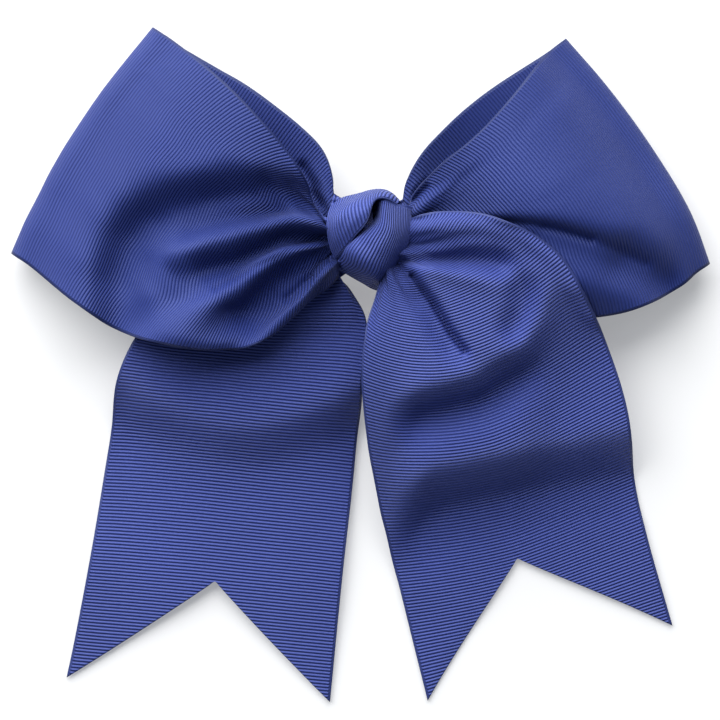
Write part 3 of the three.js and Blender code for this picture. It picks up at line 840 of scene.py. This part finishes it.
def make_knot():
    """The knot ribbon: one fold over another, and its flat back."""
    parts = [
        rib_surface(KNOT_OVER, 40, 56),
        rib_surface(KNOT_UNDER, 48, 44, 40),
        rib_surface(KNOT_BACK, 24, 36, 80),
    ]
    pieces = [cloth_mesh("knot_part", points, flat, RIBBON) for points, flat in parts]
    for piece in pieces:
        thicken(piece, 0.55)
    return join(pieces, "knot_ribbon_cloth")


# ---------------------------------------------------------------- inside the knot

PLEAT_DEPTH = 2.0
PLEAT_PITCH = 2.0
BUNDLE_HALF_WIDTH = 8.9
BUNDLE_Z = 19.2
THREAD_TURNS = 4

def passage(left, right, pinch_z):
    """One pass of the pleated ribbon through the knot, from neck to neck, drawn in by a thread."""
    start, end = neck_profile(left), neck_profile(right)
    centre = (start + end) / 2
    centre[:, 0] = 0
    centre[:, 1] *= 0.72
    centre[:, 2] = pinch_z + 0.5 * (centre[:, 2] - centre[:, 2].mean())
    rows = []
    for t in np.linspace(0, 1, 17):
        a, b, c = 2 * (t - 0.5) * (t - 1), 4 * t * (1 - t), 2 * t * (t - 0.5)
        rows.append(a * start + b * centre + c * end)
    points = refine(np.stack(rows))
    place_along = np.linspace(-1, 1, len(points))[:, None]
    depth = PLEAT_DEPTH * (1 - place_along ** 4)
    points[..., 2] += depth * np.sin(2 * math.pi * points[..., 1] / PLEAT_PITCH)
    room = np.sqrt(np.clip(1 - (points[..., 1] / BUNDLE_HALF_WIDTH) ** 2, 0.12, 1))
    room = 1 - (1 - room) * (1 - place_along ** 2)
    points[..., 2] = BUNDLE_Z + (points[..., 2] - BUNDLE_Z) * room
    along = np.broadcast_to(points[:, :1, 0], points.shape[:2])
    across = np.broadcast_to(np.linspace(0, RIBBON_WIDTH, points.shape[1]), points.shape[:2])
    return points, np.dstack([along, across])


def make_waist():
    """The three passes of the main ribbon through the knot, as one piece."""
    parts = [
        passage(LEFT_TAIL["neck"], RIGHT_LOOP["back_neck"], 15.7),
        passage(LEFT_LOOP["back_neck"], RIGHT_LOOP["front_neck"], 18.8),
        passage(LEFT_LOOP["front_neck"], RIGHT_TAIL["neck"], 22.2),
    ]
    pieces = [cloth_mesh("waist_part", points, flat, RIBBON) for points, flat in parts]
    for piece in pieces:
        thicken(piece, RIBBON_THICKNESS, 0)
    return join(pieces, "ribbon_waist_gathers")


def join(pieces, name):
    bpy.ops.object.select_all(action="DESELECT")
    for piece in pieces:
        piece.select_set(True)
    bpy.context.view_layer.objects.active = pieces[0]
    bpy.ops.object.join()
    pieces[0].name = name
    return pieces[0]


def tube(name, path, radius, sides, material):
    """A round cord along a path, with its length and its turn as the UV map."""
    path = np.asarray(path, float)
    forward = np.gradient(path, axis=0)
    forward /= np.linalg.norm(forward, axis=1)[:, None]
    side = np.cross(forward, (1.0, 0.0, 0.0))
    side /= np.linalg.norm(side, axis=1)[:, None]
    up = np.cross(side, forward)
    angle = np.linspace(0, 2 * math.pi, sides, endpoint=False)
    ring = np.cos(angle)[None, :, None] * side[:, None] + np.sin(angle)[None, :, None] * up[:, None]
    points = path[:, None] + radius * ring
    count = len(path)
    index = np.arange(count * sides).reshape(count, sides)
    turned = np.roll(index, -1, axis=1)
    quads = np.stack([index[:-1], turned[:-1], turned[1:], index[1:]], axis=-1).reshape(-1, 4)
    faces = quads.tolist() + [index[0].tolist(), index[-1][::-1].tolist()]
    length = np.concatenate([[0], np.cumsum(np.linalg.norm(np.diff(path, axis=0), axis=1))])
    corner = np.arange(count * sides)
    uv = np.stack([length[corner // sides] / UV_SCALE, (corner % sides) / sides], axis=1)
    return new_piece(name, points, faces, uv, material)


def thread_path():
    """Tight turns round the gathered pleats."""
    turns = np.linspace(0, THREAD_TURNS * 2 * math.pi, 220)
    return np.stack([
        -0.95 + 1.9 * turns / turns[-1],
        8.6 * np.cos(turns),
        BUNDLE_Z + 5.3 * np.sin(turns),
    ], axis=1)


def make_liner():
    """Narrow ribbon glued along the clip's upper jaw, its ends lifting a little."""
    low, high = (np.array(corner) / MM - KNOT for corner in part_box("clip_liner"))
    along = np.linspace(low[0], high[0], 60)
    across = np.linspace(low[1], high[1], 16)
    x, y = np.meshgrid(along, across, indexing="ij")
    centre = (low[1] + high[1]) / 2
    ends = smooth((np.abs(x - (low[0] + high[0]) / 2) - 19) / 4)
    z = (low[2] + high[2]) / 2 + 0.25 * ends - 0.02 * (y - centre) ** 2 / 4
    points = np.dstack([x, y, z])
    flat = np.dstack([x - low[0], y - low[1]])
    piece = cloth_mesh("clip_liner_ribbon", points, flat, LINER)
    thicken(piece, 0.4)
    return piece


def plated_steel():
    """Bright nickel plate over pressed steel, rubbed along its edges."""
    n = Nodes("nickel_plate")
    position = n.position()
    stretch = n.add("ShaderNodeMapping", Vector=position, Scale=(40, 900, 900))
    brushed = n.noise(stretch.outputs[0], 1.0, 3.0)
    cloud = n.noise(position, 220, 4.0)
    edge = n.tree.nodes.new("ShaderNodeNewGeometry").outputs["Pointiness"]
    worn = n.map_range(edge, 0.52, 0.6)
    colour = n.mix(cloud, (0.48, 0.47, 0.44, 1), (0.66, 0.64, 0.60, 1))
    colour = n.mix(worn, colour, (0.80, 0.79, 0.77, 1))
    n.link(colour, n.shader.inputs["Base Color"])
    rough = n.math("ADD", 0.20, n.math("MULTIPLY", brushed, 0.16))
    rough = n.math("ADD", rough, n.math("MULTIPLY", cloud, 0.08))
    n.link(rough, n.shader.inputs["Roughness"])
    n.bump(n.math("ADD", brushed, n.math("MULTIPLY", cloud, 0.5)), 0.00004, 0.6)
    n.set(Metallic=1.0)
    return n.material


def hot_glue():
    """Milky hot-melt glue with a rippled skin."""
    n = Nodes("hot_melt_glue")
    position = n.position()
    ripple = n.noise(position, 500, 2.0)
    cloud = n.noise(position, 150, 3.0)
    n.link(n.mix(cloud, (0.74, 0.70, 0.58, 1), (0.86, 0.83, 0.74, 1)), n.shader.inputs["Base Color"])
    n.link(n.math("ADD", 0.22, n.math("MULTIPLY", ripple, 0.15)), n.shader.inputs["Roughness"])
    n.bump(ripple, 0.0002, 0.7)
    n.set(Subsurface_Weight=0.35, Transmission_Weight=0.25, IOR=1.48)
    n.shader.inputs["Subsurface Radius"].default_value = (0.002, 0.0017, 0.0012)
    return n.material


def sewing_thread():
    """Blue polyester thread: two plies twisted together, with loose fuzz."""
    n = Nodes("sewing_thread")
    split = n.strip()
    wind = n.math("MULTIPLY", split[0], UV_SCALE * 2 * math.pi / TWIST_PITCH)
    turn = n.math("MULTIPLY", split[1], 4 * math.pi)
    ply = n.math("ABSOLUTE", n.math("SINE", n.math("ADD", wind, turn)))
    fuzz = n.noise(n.position(), 4000, 3.0)
    # Painted shade: the darker colour lies in the seams between the twisted plies.
    n.link(n.mix(ply, (0.01, 0.016, 0.09, 1), (0.045, 0.065, 0.27, 1)), n.shader.inputs["Base Color"])
    n.link(n.math("ADD", 0.45, n.math("MULTIPLY", fuzz, 0.3)), n.shader.inputs["Roughness"])
    n.bump(n.math("ADD", ply, n.math("MULTIPLY", fuzz, 0.3)), 0.0001, 1.0)
    n.set(Sheen_Weight=0.2)
    return n.material


# ---------------------------------------------------------------- room

def make_room():
    bpy.ops.mesh.primitive_plane_add(size=6, location=(0, 0, -0.0002))
    floor = bpy.context.object
    floor.name = "floor"
    n = Nodes("floor_paper")
    n.set(Base_Color=(0.5, 0.5, 0.5, 1), Roughness=0.9, Emission_Color=(1, 1, 1, 1))
    n.set(Emission_Strength=0.30)
    floor.data.materials.append(n.material)
    world = bpy.data.worlds.new("room")
    bpy.context.scene.world = world
    world.use_nodes = True
    world.node_tree.nodes["Background"].inputs[0].default_value = (0.74, 0.84, 1, 1)
    world.node_tree.nodes["Background"].inputs[1].default_value = 0.27
    key = bpy.data.lights.new("key", "AREA")
    key.size = 1.6
    key.energy = 54
    lamp = bpy.data.objects.new("key", key)
    lamp.location = (-0.3, 0.85, 0.56)
    aim = Vector((0, 0, 0)) - lamp.location
    lamp.rotation_euler = aim.to_track_quat("-Z", "Y").to_euler()
    bpy.context.scene.collection.objects.link(lamp)
    bpy.context.scene.view_settings.view_transform = "Standard"


def make_camera():
    """Straight down on the bow, from far enough to be nearly without perspective."""
    distance = 0.9
    field = 0.2087
    camera = bpy.data.cameras.new("camera")
    camera.sensor_width = 36
    camera.lens = 36 * distance / field
    eye = bpy.data.objects.new("camera", camera)
    eye.location = (0, 0.001, distance + 0.01)
    bpy.context.scene.collection.objects.link(eye)
    bpy.context.scene.camera = eye


make_camera()
make_room()
# The second colour given to each grosgrain is painted shade for the grooves between its ribs.
RIBBON = grosgrain("bow_grosgrain", (0.041, 0.062, 0.270, 1), (0.010, 0.018, 0.125, 1))
# Painted shade: the loops are the same ribbon as the tails, given darker colours so that they come out
# darker under the key light.
PAINTED_SHADE_LOOP_RIBBON = grosgrain("loop_grosgrain_painted_shade", (0.019, 0.033, 0.165, 1), (0.006, 0.012, 0.084, 1),
                        0.5, shine=0.35)

pile = Pile()
left_tail = make_ribbon("left_tail_ribbon", tail_sheet(LEFT_TAIL, left_tail_relief, 32.8), pile,
                        False, RIBBON)
left_loop = make_ribbon(
    "left_loop_ribbon", loop_sheet(LEFT_LOOP), pile, True, PAINTED_SHADE_LOOP_RIBBON,
    creases=[
        (-1.5, 1.2, [(-12.4, -0.2), (-22, -3.6), (-35, -10), (-44, -15)]),
        (-1.5, 1.2, [(-11.8, -3.8), (-17.4, -12), (-24, -18)]),
    ],
    back_creases=[(-1.8, 1.5, [(-19.6, 20.5), (-16.4, 14.8), (-14.6, 9)])],
)
right_loop = make_ribbon(
    "right_loop_ribbon", loop_sheet(RIGHT_LOOP), pile, True, PAINTED_SHADE_LOOP_RIBBON,
    creases=[
        (-1.5, 0.9, [(12.2, 10.2), (16.4, 14.2)]),
        (-1.5, 1.1, [(34, 4.4), (46, 3.4), (55, 1.4), (63, -1)]),
        (-0.9, 1.7, [(50, 2.6), (65, -1.8), (79, -7.6)]),
    ],
    back_creases=[(-1, 1.2, [(12.8, 12.4), (16.6, 16)])],
)
right_tail = make_ribbon(
    "right_tail_ribbon", tail_sheet(RIGHT_TAIL, right_tail_relief, 37), pile, False, RIBBON,
    creases=[(-4, 0.9, [(12, -11.3), (17.8, -18.9), (23.2, -27.9), (27, -33)])],
)
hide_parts("left_tail_upper", "left_tail_lower")
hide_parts("right_tail_upper", "right_tail_lower")
knot = make_knot()
waist = make_waist()
# Its second colour is painted shade for the grooves, as on the main ribbon.
LINER = grosgrain("liner_grosgrain", (0.046, 0.066, 0.265, 1), (0.016, 0.024, 0.125, 1),
                  width=9.6)
liner = make_liner()
thread = tube("gathering_thread_turns", thread_path(), 0.28, 12, sewing_thread())

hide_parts("knot_ribbon")
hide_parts("ribbon_waist")
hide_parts("left_loop")
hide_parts("right_loop")
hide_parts("clip_liner")
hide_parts("gathering_thread")
for piece in (left_loop, right_loop, knot, waist, liner, thread):
    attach(piece, "bow")


def bend_tail(piece, joint_name):
    """Finds the tail's hinge joint and bakes the tail's placement into its mesh; the tail itself is
    not bent.
    """
    joint = next(joint for joint in frame["joints"] if joint["name"] == joint_name)
    along = Vector(joint["axis"]).cross(Vector((0, 0, 1))).normalized()
    if along.y > 0:
        along = -along
    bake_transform(piece)


bend_tail(left_tail, "left_tail_hinge")
bend_tail(right_tail, "right_tail_hinge")

steel = plated_steel()
glue = hot_glue()
for name, node in frame["nodes"].items():
    finish = None
    if name in ("seam_glue", "clip_glue"):
        finish = glue
    elif name.startswith("clip_") and name != "clip_liner":
        finish = steel
        edge = node.modifiers.new("edge", "BEVEL")
        edge.width = 0.00009
        edge.segments = 2
        edge.limit_method = "ANGLE"
    if finish:
        for k in range(len(node.material_slots)):
            node.material_slots[k].material = finish
